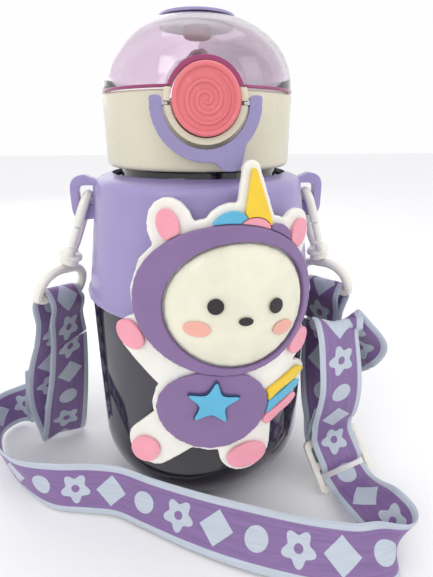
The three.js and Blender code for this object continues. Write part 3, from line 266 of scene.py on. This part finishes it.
def webbing(name):
    """Satin webbing: woven ribs, a pale border and a row of printed shapes. UV is in metres."""
    purple, pale = linear(132, 104, 156), linear(192, 201, 213)
    paint = Paint(name, purple, 0.42, Sheen_Weight=0.35, Sheen_Roughness=0.3,
                  Anisotropic=0.35, Specular_IOR_Level=0.5)
    uv = paint.add("ShaderNodeSeparateXYZ", Vector=paint.add("ShaderNodeTexCoord").outputs["UV"])
    along, across = uv.outputs["X"], uv.outputs["Y"]
    m = paint.math

    cell = m("DIVIDE", along, PRINT_STEP)
    index = m("FLOOR", cell)
    x = m("MULTIPLY", m("SUBTRACT", m("FRACT", cell), 0.5), PRINT_STEP)
    radius = m("SQRT", m("ADD", m("MULTIPLY", x, x), m("MULTIPLY", across, across)))
    angle = m("ARCTAN2", across, x)
    petals = m("COSINE", m("ADD", m("MULTIPLY", angle, 5.0), 1.2))
    flower = m("SUBTRACT", m("MULTIPLY_ADD", petals, 0.0013, 0.0063), radius)
    flower = m("MINIMUM", flower, m("SUBTRACT", radius, 0.002))
    diamond = m("SUBTRACT", 0.0078, m("ADD", m("ABSOLUTE", x), m("ABSOLUTE", across)))
    disc = m("SUBTRACT", 0.0052, radius)
    kind = m("MODULO", m("ADD", index, 300.0), 3.0)
    shape = m("ADD", m("MULTIPLY", flower, m("COMPARE", kind, 0.0, 0.2)),
              m("ADD", m("MULTIPLY", diamond, m("COMPARE", kind, 1.0, 0.2)),
                m("MULTIPLY", disc, m("COMPARE", kind, 2.0, 0.2))))
    printed = paint.spread(shape, -0.00015, 0.00015, 0, 1)
    border = m("SUBTRACT", m("ABSOLUTE", across), WEB_WIDTH / 2 - WEB_STRIPE)
    border = paint.spread(border, -0.0002, 0.0002, 0, 1)

    streaks = paint.add("ShaderNodeCombineXYZ", X=m("MULTIPLY", along, 60.0),
                        Y=m("MULTIPLY", across, 900.0))
    streak = paint.noise(1.0, 3, vector=streaks.outputs[0])
    ground = paint.mix(paint.spread(streak, 0.3, 0.7, 0, 1), scaled(purple, 0.86), scaled(purple, 1.12))
    light = paint.mix(paint.spread(streak, 0.3, 0.7, 0, 1), scaled(pale, 0.93), scaled(pale, 1.04))
    color = paint.mix(m("MAXIMUM", printed, border), ground, light)
    rib = m("SINE", m("MULTIPLY", m("ADD", across, m("MULTIPLY", along, 0.35)), FULL_TURN / 0.0009))
    thread = m("SINE", m("MULTIPLY", along, FULL_TURN / 0.0011))
    weave = m("MULTIPLY_ADD", m("MULTIPLY", rib, thread), 0.5, 0.5)
    shade = paint.mix(m("MULTIPLY", weave, 0.16), (1.0, 1.0, 1.0), (0.72, 0.7, 0.74))
    color = paint.mix(1.0, color, shade, blend="MULTIPLY")
    paint.put(paint.shader.inputs["Base Color"], color)
    paint.shader.inputs["Sheen Tint"].default_value = (*linear(235, 200, 230), 1)
    paint.roughen(500, 0.36, 0.52)
    paint.bump(weave, 0.00012, 0.6)
    paint.bump(m("ADD", printed, m("MULTIPLY", border, 1.5)), 0.00012, 0.7)
    return paint.material


def make_materials():
    return {
        "cream_plastic": plastic("cream_plastic", linear(212, 206, 184)),
        "ivory_plastic": plastic("ivory_plastic", linear(236, 234, 224), 0.3, 0.3, 0.1),
        "lilac_plastic": plastic("lilac_plastic", linear(154, 142, 190), 0.34),
        "lilac_deep_plastic": plastic("lilac_deep_plastic", linear(145, 137, 180), 0.28, 0.3),
        "coral_plastic": plastic("coral_plastic", linear(222, 116, 122), 0.34),
        "smoke_clear": clear_plastic("smoke_clear", (0.18, 0.16, 0.21), 0.03, 0.0009),
        "pink_clear": clear_plastic("pink_clear", (0.72, 0.63, 0.71), 0.02, 0.0002),
        "plum_trim": plastic("plum_trim", linear(150, 48, 104), 0.2, 0.5),
        "silicone_pink": silicone("silicone_pink", linear(236, 196, 206)),
        "silicone_clear": silicone("silicone_clear", linear(222, 222, 220), 0.35, 0.5),
        "steel": steel("steel"),
        "webbing": webbing("webbing"),
        "pvc_white": soft_pvc("pvc_white", linear(238, 236, 228)),
        "pvc_purple": soft_pvc("pvc_purple", linear(132, 106, 152)),
        "pvc_cream": soft_pvc("pvc_cream", linear(231, 228, 207), 0.16),
        "pvc_pink": soft_pvc("pvc_pink", linear(238, 158, 174)),
        "pvc_yellow": soft_pvc("pvc_yellow", linear(240, 202, 50)),
        "pvc_blue": soft_pvc("pvc_blue", linear(92, 178, 212)),
        "pvc_navy": soft_pvc("pvc_navy", linear(40, 62, 105)),
        "pvc_dark": soft_pvc("pvc_dark", linear(34, 28, 32), 0.22),
        "pvc_salmon": soft_pvc("pvc_salmon", linear(240, 172, 158)),
    }


make_camera()
make_studio()
make_floor()
materials = make_materials()


# ---- Mesh helpers ---------------------------------------------------------------------------
TRIM = "plum_trim"                # the dome's trim, which has no slot in the record


def make_piece(name, points, faces, slot, body=None, uvs=None):
    """A mesh piece with its slot's material. Faces are lists of point numbers."""
    mesh = bpy.data.meshes.new(name)
    mesh.from_pydata([tuple(p) for p in points], [], faces)
    if uvs:
        layer = mesh.uv_layers.new(name="uv")
        for loop, uv in zip(layer.data, uvs):
            loop.uv = uv
    mesh.materials.append(materials[slot])
    mesh.shade_smooth()
    piece = bpy.data.objects.new(name, mesh)
    bpy.context.collection.objects.link(piece)
    if body:
        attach(piece, body)
    return piece


def finish_mesh(piece, sharp):
    """Merges double points, turns the faces outward and marks the sharp edges, in degrees."""
    shape = bmesh.new()
    shape.from_mesh(piece.data)
    bmesh.ops.remove_doubles(shape, verts=shape.verts, dist=1e-7)
    bmesh.ops.dissolve_degenerate(shape, edges=shape.edges, dist=1e-7)
    bmesh.ops.recalc_face_normals(shape, faces=shape.faces)
    shape.to_mesh(piece.data)
    shape.free()
    piece.data.shade_smooth()
    piece.data.set_sharp_from_angle(angle=math.radians(sharp))


def add_modifier(piece, kind, **settings):
    modifier = piece.modifiers.new(kind.lower(), kind)
    for key, value in settings.items():
        setattr(modifier, key, value)
    return modifier


def catmull_rom(points, t):
    """A centripetal Catmull-Rom curve through the points, t from 0 to 1 with equal shares."""
    last = len(points) - 1
    share = t * last
    k = min(int(share), last - 1)
    w = share - k
    p1, p2 = points[k], points[k + 1]
    p0 = points[k - 1] if k > 0 else 2 * p1 - p2
    p3 = points[k + 2] if k + 2 <= last else 2 * p2 - p1
    d0, d1, d2 = (max((b - a).length, 1e-9) ** 0.5 for a, b in ((p0, p1), (p1, p2), (p2, p3)))
    m1 = ((p1 - p0) / d0 - (p2 - p0) / (d0 + d1) + (p2 - p1) / d1) * d1
    m2 = ((p2 - p1) / d1 - (p3 - p1) / (d1 + d2) + (p3 - p2) / d2) * d1
    square, cube = w * w, w * w * w
    return (p1 * (2 * cube - 3 * square + 1) + m1 * (cube - 2 * square + w)
            + p2 * (3 * square - 2 * cube) + m2 * (cube - square))


# ---- Strap ----------------------------------------------------------------------------------
SLIDER_ACROSS = (0.955, 0.255, 0.147)
LEFT_BAR = (0.78, 0.6, -0.17)
RIGHT_BAR = (0.45, -0.88, 0.12)
RIGHT_END = (0.45, -0.88, 0)
LEFT_TOP_ROUTE = [
    ((-0.069, 0.002, 0.0726), (0.84, 0.5, -0.2)), ((-0.0692, -0.001, 0.086), LEFT_BAR),
    ((-0.0683, -0.0039, 0.0976), LEFT_BAR), ((-0.0705, 0.0008, 0.1038), LEFT_BAR),
    ((-0.0746, 0.004, 0.0976), LEFT_BAR), ((-0.0746, 0.006, 0.086), LEFT_BAR),
    ((-0.0756, 0.0092, 0.0726), (0.84, 0.5, -0.2)),
]
LEFT_DROP_ROUTE = [
    ((-0.069, 0.0023, 0.0718), (0.84, 0.5, -0.2)), ((-0.0702, 0.007, 0.052), (0.92, 0.35, -0.1)),
    ((-0.073, 0.013, 0.027), (0.97, 0.05, 0)), ((-0.075, 0.0186, 0.008), (0.98, -0.1, 0)),
    ((-0.076, 0.0222, 0.0023), (0.98, -0.14, 0)), ((-0.0768, 0.026, 0.007), (0.98, -0.1, 0)),
    ((-0.0796, 0.0235, 0.027), (0.97, 0, 0)), ((-0.079, 0.016, 0.052), (0.92, 0.3, -0.1)),
    ((-0.0757, 0.0094, 0.0718), (0.84, 0.5, -0.2)),
]
MAIN_ROUTE = [
    ((-0.087, 0.0128, 0.054), (0.72, 0.65, -0.1)), ((-0.0912, 0.0191, 0.033), (0.86, 0.46, 0.1)),
    ((-0.0983, 0.0254, 0.021), (0.72, 0.42, 0.55)), ((-0.1075, 0.0315, 0.015), (0.3, 0.2, 0.93)),
    ((-0.117, 0.031, 0.0134), (-0.1, 0.02, 1)), ((-0.1232, 0.022, 0.0134), (-0.12, -0.03, 1)),
    ((-0.1205, 0.007, 0.0133), (-0.1, -0.15, 0.98)),
    ((-0.109, -0.013, 0.013), (-0.06, -0.3, 0.95)), ((-0.095, -0.028, 0.013), (-0.02, -0.2, 0.97)),
    ((-0.076, -0.0375, 0.013), (-0.02, 0.2, 0.97)), ((-0.058, -0.0405, 0.013), (0.05, 0.3, 0.95)),
    ((-0.044, -0.044, 0.013), (0.12, 0.28, 0.95)), ((-0.029, -0.0525, 0.0128), (0.18, 0.28, 0.94)),
    ((-0.006, -0.0642, 0.012), (0.22, 0.45, 0.86)), ((0.019, -0.074, 0.0104), (0.15, 0.7, 0.7)),
    ((0.045, -0.083, 0.0102), (0.1, 0.74, 0.66)), ((0.064, -0.0875, 0.0114), (0.2, 0.66, 0.72)),
    ((0.0765, -0.0845, 0.0134), (0.48, 0.35, 0.8)), ((0.0805, -0.0755, 0.0132), (0.66, -0.05, 0.74)),
    ((0.0774, -0.064, 0.0124), (0.78, -0.1, 0.55)), ((0.0754, -0.054, 0.0096), (0.9, 0.1, 0.3)),
    ((0.0744, -0.0444, 0.0069), SLIDER_ACROSS), ((0.0726, -0.0385, 0.0087), SLIDER_ACROSS),
]
RIGHT_TOP_ROUTE = [
    ((0.0656, -0.0005, 0.0783), RIGHT_END), ((0.0653, -0.0007, 0.086), RIGHT_BAR),
    ((0.0638, -0.0021, 0.0964), RIGHT_BAR), ((0.0674, 0, 0.103), RIGHT_BAR),
    ((0.0712, 0.0021, 0.0964), RIGHT_BAR), ((0.0684, 0.0009, 0.086), RIGHT_BAR),
    ((0.0676, 0.0006, 0.0783), RIGHT_END),
]
RIGHT_DROP_ROUTE = [
    ((0.0656, -0.0005, 0.0772), RIGHT_END), ((0.0656, -0.001, 0.0715), RIGHT_END),
    ((0.0662, -0.0055, 0.06), (0.66, -0.75, 0)), ((0.0668, -0.013, 0.043), (0.9, -0.35, 0.05)),
    ((0.0672, -0.0172, 0.03), (0.95, 0.12, 0.1)), ((0.0666, -0.0218, 0.0203), SLIDER_ACROSS),
    ((0.0689, -0.0266, 0.0131), SLIDER_ACROSS), ((0.0704, -0.0301, 0.0097), SLIDER_ACROSS),
    ((0.0717, -0.0336, 0.0068), SLIDER_ACROSS),
]
RIGHT_FOLD_ROUTE = [
    ((0.066, -0.033, 0.048), (0.95, 0.2, 0.05)), ((0.0663, -0.0286, 0.036), (0.97, 0.15, 0.1)),
    ((0.0662, -0.0256, 0.0294), SLIDER_ACROSS), ((0.0662, -0.0237, 0.0244), SLIDER_ACROSS),
    ((0.067, -0.0245, 0.0208), SLIDER_ACROSS), ((0.0692, -0.0291, 0.0146), SLIDER_ACROSS),
    ((0.0707, -0.0324, 0.0105), SLIDER_ACROSS), ((0.0716, -0.0357, 0.0103), SLIDER_ACROSS),
    ((0.0713, -0.0366, 0.0139), SLIDER_ACROSS), ((0.0698, -0.0336, 0.0182), SLIDER_ACROSS),
    ((0.0676, -0.0292, 0.0246), SLIDER_ACROSS), ((0.0668, -0.0298, 0.031), SLIDER_ACROSS),
    ((0.0664, -0.0324, 0.0385), (0.97, 0.15, 0.1)), ((0.066, -0.0358, 0.0495), (0.95, 0.2, 0.05)),
    ((0.0652, -0.0378, 0.062), (0.92, 0.3, 0)), ((0.0636, -0.0372, 0.076), (0.9, 0.35, 0)),
    ((0.0626, -0.0345, 0.087), (0.88, 0.4, 0)), ((0.063, -0.0298, 0.0915), (0.88, 0.42, 0)),
    ((0.0652, -0.025, 0.0895), (0.85, 0, 0.1)), ((0.0766, -0.0234, 0.0825), (0.72, -0.6, 0.15)),
    ((0.0835, -0.0175, 0.073), (0.6, -0.78, 0.15)), ((0.082, -0.012, 0.0655), (0.55, -0.82, 0.1)),
    ((0.0815, -0.008, 0.0614), (0.5, -0.85, 0.1)), ((0.0778, -0.004, 0.0624), (0.48, -0.87, 0.1)),
    ((0.0724, -0.0002, 0.066), (0.46, -0.88, 0.05)), ((0.069, 0.0011, 0.071), RIGHT_END),
    ((0.0679, 0.001, 0.077), RIGHT_END),
]
WEB_THICKNESS = 0.0013
SELVEDGE = 0.0011                 # rounded, slightly thicker edge
STRAP_STEP = 0.0016               # between the rows of a strap's mesh
FINE = 1600                       # samples along a route, to measure its length


def sampled(route, step):
    """Points, tangents and width directions along a route, about a step apart."""
    points = [Vector(p) for p, _ in route]
    sides = [Vector(s).normalized() for _, s in route]
    line = [catmull_rom(points, i / FINE) for i in range(FINE + 1)]
    length = [0.0]
    for a, b in zip(line, line[1:]):
        length.append(length[-1] + (b - a).length)
    count = max(8, round(length[-1] / step))
    out, k = [], 0
    for i in range(count + 1):
        goal = length[-1] * i / count
        while k < FINE - 1 and length[k + 1] < goal:
            k += 1
        t = (k + (goal - length[k]) / max(length[k + 1] - length[k], 1e-9)) / FINE
        t = min(max(t, 0.0), 1.0)
        ahead, behind = min(t + 0.0004, 1.0), max(t - 0.0004, 0.0)
        tangent = (catmull_rom(points, ahead) - catmull_rom(points, behind)).normalized()
        side = catmull_rom(sides, t)
        side = (side - tangent * side.dot(tangent)).normalized()
        out.append((catmull_rom(points, t), tangent, side, goal))
    return out


def web_section():
    """(across, up) round the webbing's section, from the left edge over the top and back below."""
    half, thick = WEB_WIDTH / 2, WEB_THICKNESS / 2
    top = []
    for i in range(25):
        x = -half + WEB_WIDTH * i / 24
        edge = max(0.0, 1 - (half - abs(x)) / (2 * SELVEDGE))
        top.append((x * 0.998, (thick - 0.00012) * (1 - edge ** 6) + 0.00008 * math.sin(math.pi * edge)))
    return top + [(x, -up) for x, up in reversed(top)]


def make_strap(name, route, start_u=0.0):
    """A webbing ribbon along a route. Returns the piece and the path that it follows."""
    rows = sampled(route, STRAP_STEP)
    section = web_section()
    n = len(section)
    points, faces, uvs = [], [], []
    for place, tangent, side, _ in rows:
        up = tangent.cross(side)
        points += [place + side * x + up * y for x, y in section]
    for i in range(len(rows) - 1):
        for k in range(n):
            j = (k + 1) % n
            faces.append([i * n + k, i * n + j, (i + 1) * n + j, (i + 1) * n + k])
            u0, u1 = rows[i][3] + start_u, rows[i + 1][3] + start_u
            uvs += [(u0, section[k][0]), (u0, section[j][0]), (u1, section[j][0]), (u1, section[k][0])]
    for base, turn in ((0, -1), ((len(rows) - 1) * n, 1)):
        cap = [base + k for k in range(n)][::turn]
        faces.append(cap)
        uvs += [(rows[0 if base == 0 else -1][3] + start_u, section[k - base][0]) for k in cap]
    piece = make_piece(f"webbing_{name[6:]}", points, faces, "webbing", uvs=uvs)
    piece.data.set_sharp_from_angle(angle=math.radians(50))
    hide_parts(name)
    path = [tuple(place) for place, _, _, _ in rows[::3]]
    if tuple(rows[-1][0]) != path[-1]:
        path.append(tuple(rows[-1][0]))
    return piece, path, rows[-1][3]


def with_ring(route):
    """A route turned about the upright line through the left ring's bar."""
    pivot = Vector((-0.0717, 0, 0))
    turn = Matrix.Rotation(math.radians(27), 3, "Z")
    return [(turn @ (Vector(point) - pivot) + pivot, turn @ Vector(side)) for point, side in route]


STRAPS = {                        # route, start of the print, and the joint that it crosses
    "strap_left_top": (with_ring(LEFT_TOP_ROUTE), 0.0,
                       ("left_ring", "left_hook", (-0.071, 0, 0.097), (-0.071, 0, 0.076))),
    "strap_left_drop": (with_ring(LEFT_DROP_ROUTE), 0.006,
                        ("left_hook", "root", (-0.071, 0, 0.071), (-0.077, 0.009, 0.03))),
    "strap_main": (MAIN_ROUTE, 0.01, None),
    "strap_right_top": (RIGHT_TOP_ROUTE, 0.003,
                        ("right_ring", "right_hook", (0.066, 0, 0.096), (0.066, 0, 0.08))),
    "strap_right_drop": (RIGHT_DROP_ROUTE, 0.008,
                         ("right_hook", "root", (0.0656, 0, 0.0765), (0.0665, -0.01, 0.045))),
    "strap_right_fold": (RIGHT_FOLD_ROUTE, 0.002,
                         ("root", "right_hook", (0.072, -0.013, 0.069), (0.068, 0.001, 0.077))),
}


def make_straps():
    for name, (route, start_u, bend) in STRAPS.items():
        piece, path, length = make_strap(name, route, start_u)
        if bend:
            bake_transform(piece)
        else:
            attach(piece, "root")


make_straps()


# ---- Turned pieces --------------------------------------------------------------------------
def arc(cx, cz, radius, start, end, steps):
    angles = [math.radians(start + (end - start) * i / steps) for i in range(steps + 1)]
    return [(cx + radius * math.cos(a), cz + radius * math.sin(a)) for a in angles]


def lathe(name, profile, slot, body, facets=128, sharp=32):
    """A solid of revolution round Z from a closed (radius, height) outline in metres."""
    points = [(r * math.cos(FULL_TURN * k / facets), r * math.sin(FULL_TURN * k / facets), z)
              for k in range(facets) for r, z in profile]
    n = len(profile)
    faces = []
    for k in range(facets):
        here, there = k * n, (k + 1) % facets * n
        for i in range(n):
            j = (i + 1) % n
            if profile[i][0] > 0 or profile[j][0] > 0:
                faces.append([here + i, there + i, there + j, here + j])
    piece = make_piece(name, points, faces, slot, body)
    finish_mesh(piece, sharp)
    return piece


def in_metres(outline):
    return [(r * MM, z * MM) for r, z in outline]


def make_body():
    """The clear body: a round-cornered pot with a short neck, open at the top."""
    foot, corner, wall = 22.5, 31, 2.2
    outline = [
        (0, 0), *arc(foot, corner, corner, -90, 0, 22), (53.5, 101), (52.3, 103.7), (45.3, 154),
        (44.7, 155.4), (43.4, 156.4), (38.5, 157.7), (35.6, 158.6), (35, 160), (35, 176.6),
        (34.6, 177), (33, 177), (32.6, 176.6), (32.6, 157.6), (41.6, 154), (43.1, 151),
        (50.1, 104), (51.3, 99), *arc(foot, corner, corner - wall, 0, -90, 22), (0, wall),
    ]
    piece = lathe("clear_body", in_metres(outline), "smoke_clear", "root", 144)
    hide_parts("bottle_body")


BUTTON_CENTRE_Z = sum(corner.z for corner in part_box("push_button")) / 2
BUTTON_FRONT_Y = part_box("push_button")[0].y
BUTTON_BACK_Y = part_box("push_button")[1].y
BUTTON_RADIUS = (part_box("push_button")[1].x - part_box("push_button")[0].x) / 2
SPIRAL_PITCH = 0.0034
SPIRAL_REACH = 0.0088


def button_depth(radius, angle):
    """How far the button's face lies behind its foremost plane."""
    rim = BUTTON_RADIUS - radius
    if rim < 0.0024:
        share = rim / 0.0024
        return 0.0012 * (1 - math.sin(math.pi * min(1.0, share + 0.1)) ** 0.7)
    turns = (radius / SPIRAL_PITCH - angle / FULL_TURN) % 1.0
    ridge = max(0.0, math.cos(FULL_TURN * (turns - 0.5))) ** 0.6
    fade = min(1.0, max(0.0, (SPIRAL_REACH - radius) / 0.0008)) * min(1.0, radius / 0.0012)
    return 0.0013 - 0.00085 * ridge * fade


def make_button():
    """A disc with a raised rim and a raised spiral on its face."""
    turns, rings = 120, 84
    points, faces = [], []

    def add_point(radius, angle, y):
        points.append((radius * math.cos(angle), y, BUTTON_CENTRE_Z + radius * math.sin(angle)))

    angles = [FULL_TURN * k / turns for k in range(turns)]
    for i in range(rings + 1):
        radius = BUTTON_RADIUS * i / rings
        for angle in angles:
            add_point(radius, angle, BUTTON_FRONT_Y + button_depth(radius, angle))
    for angle in angles:
        add_point(BUTTON_RADIUS, angle, BUTTON_BACK_Y)
    for i in range(rings + 1):
        for k in range(turns):
            j = (k + 1) % turns
            faces.append([i * turns + k, i * turns + j, (i + 1) * turns + j, (i + 1) * turns + k])
    faces.append([(rings + 1) * turns + k for k in range(turns)])
    piece = make_piece("button_disc", points, faces, "coral_plastic", "button")
    finish_mesh(piece, 50)
    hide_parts("push_button")


def make_bar(name, sections, slot, body):
    """A closed bar with rounded edges through a list of sections."""
    n = len(sections[0])
    last = n * (len(sections) - 1)
    faces = [[n * i + k, n * i + (k + 1) % n, n * (i + 1) + (k + 1) % n, n * (i + 1) + k]
             for i in range(len(sections) - 1) for k in range(n)]
    faces += [list(range(n))[::-1], [last + k for k in range(n)]]
    bar = make_piece(name, [point for section in sections for point in section], faces, slot, body)
    bar.data.set_sharp_from_angle(angle=math.radians(40))
    add_modifier(bar, "BEVEL", width=0.0002, segments=2, limit_method="ANGLE",
                 angle_limit=math.radians(40))


RIM_RADII = (39.9, 41)            # of the plum line, in millimetres like the rest of the trim
RIM_HEIGHTS = (192, 193)
RIM_START = 17.7                  # degrees from the front where the line runs into the arch
RIM_STEPS = 130
ARCH_RADII = (12.45, 14.2)
ARCH_DEPTHS = (-44.95, -35)
ARCH_START = 20                   # degrees above the level of the button's centre
ARCH_STEPS = 40


def corners_of(first, second):
    """The four corners, in turn, of a box section between two pairs of limits."""
    return [(first[0], second[0]), (first[1], second[0]), (first[1], second[1]), (first[0], second[1])]


def make_dome_trim():
    """The plum line round the dome's foot and the arch over the button, where the line ends."""
    def rim_at(degrees):
        angle = math.radians(degrees)
        return [(r * MM * math.sin(angle), -r * MM * math.cos(angle), z * MM)
                for r, z in corners_of(RIM_RADII, RIM_HEIGHTS)]

    def arch_at(degrees):
        angle = math.radians(degrees)
        return [(r * MM * math.cos(angle), y * MM, BUTTON_CENTRE_Z + r * MM * math.sin(angle))
                for r, y in corners_of(ARCH_RADII, ARCH_DEPTHS)]

    def sections(section_at, start, end, steps):
        return [section_at(start + (end - start) * i / steps) for i in range(steps + 1)]

    rim = sections(rim_at, RIM_START, 360 - RIM_START, RIM_STEPS)
    arch = sections(arch_at, ARCH_START, 180 - ARCH_START, ARCH_STEPS)
    make_bar("dome_rim", rim, TRIM, "dome")
    make_bar("dome_arch", arch, TRIM, "dome")


make_body()
make_button()
make_dome_trim()


# ---- CAD solids that stay, softened by modifiers --------------------------------------------
SLOTS = {row["node"]: row["material_slot"] for row in frame["record"]["subparts"]}
MOULDED = {                       # voxel size in metres and smoothing passes
    "left_hook": (0.00035, 5), "right_hook": (0.00035, 5), "left_hook_gate": (0.0003, 4),
    "right_hook_gate": (0.0003, 4), "left_strap_ring": (0.00035, 5), "right_strap_ring": (0.00035, 5),
    "strap_slider": (0.0004, 4), "lock_bail": (0.00035, 6), "spout_tip": (0.0004, 5),
    "charm_base": (0.00055, 5), "charm_hood": (0.0005, 5), "charm_face": (0.0005, 8),
    "charm_body": (0.0005, 5),
}
CHARM_SMALL = (0.0003, 5)
CHARM_THIN = (0.0002, 4)
THIN = ("charm_star", "charm_star_border", "charm_eye_left", "charm_eye_right", "charm_nose",
        "charm_cheek_left", "charm_cheek_right")


def dress_node(name, node):
    """Gives a CAD node its material and rounds its edges with modifiers."""
    node.data.materials.clear()
    node.data.materials.append(materials[SLOTS[name]])
    node.data.shade_smooth()
    if name in MOULDED or name.startswith("charm_"):
        voxel, passes = MOULDED.get(name, CHARM_THIN if name in THIN else CHARM_SMALL)
        add_modifier(node, "REMESH", mode="VOXEL", voxel_size=voxel, use_smooth_shade=True)
        add_modifier(node, "SMOOTH", factor=0.5, iterations=passes)
        return
    add_modifier(node, "WELD", merge_threshold=2e-6)
    add_modifier(node, "BEVEL", width=0.0003, segments=2, limit_method="ANGLE",
                 angle_limit=math.radians(38))
    add_modifier(node, "EDGE_SPLIT", split_angle=math.radians(42), use_edge_sharp=False)


for name, node in nodes.items():
    if not node.hide_render:
        dress_node(name, node)
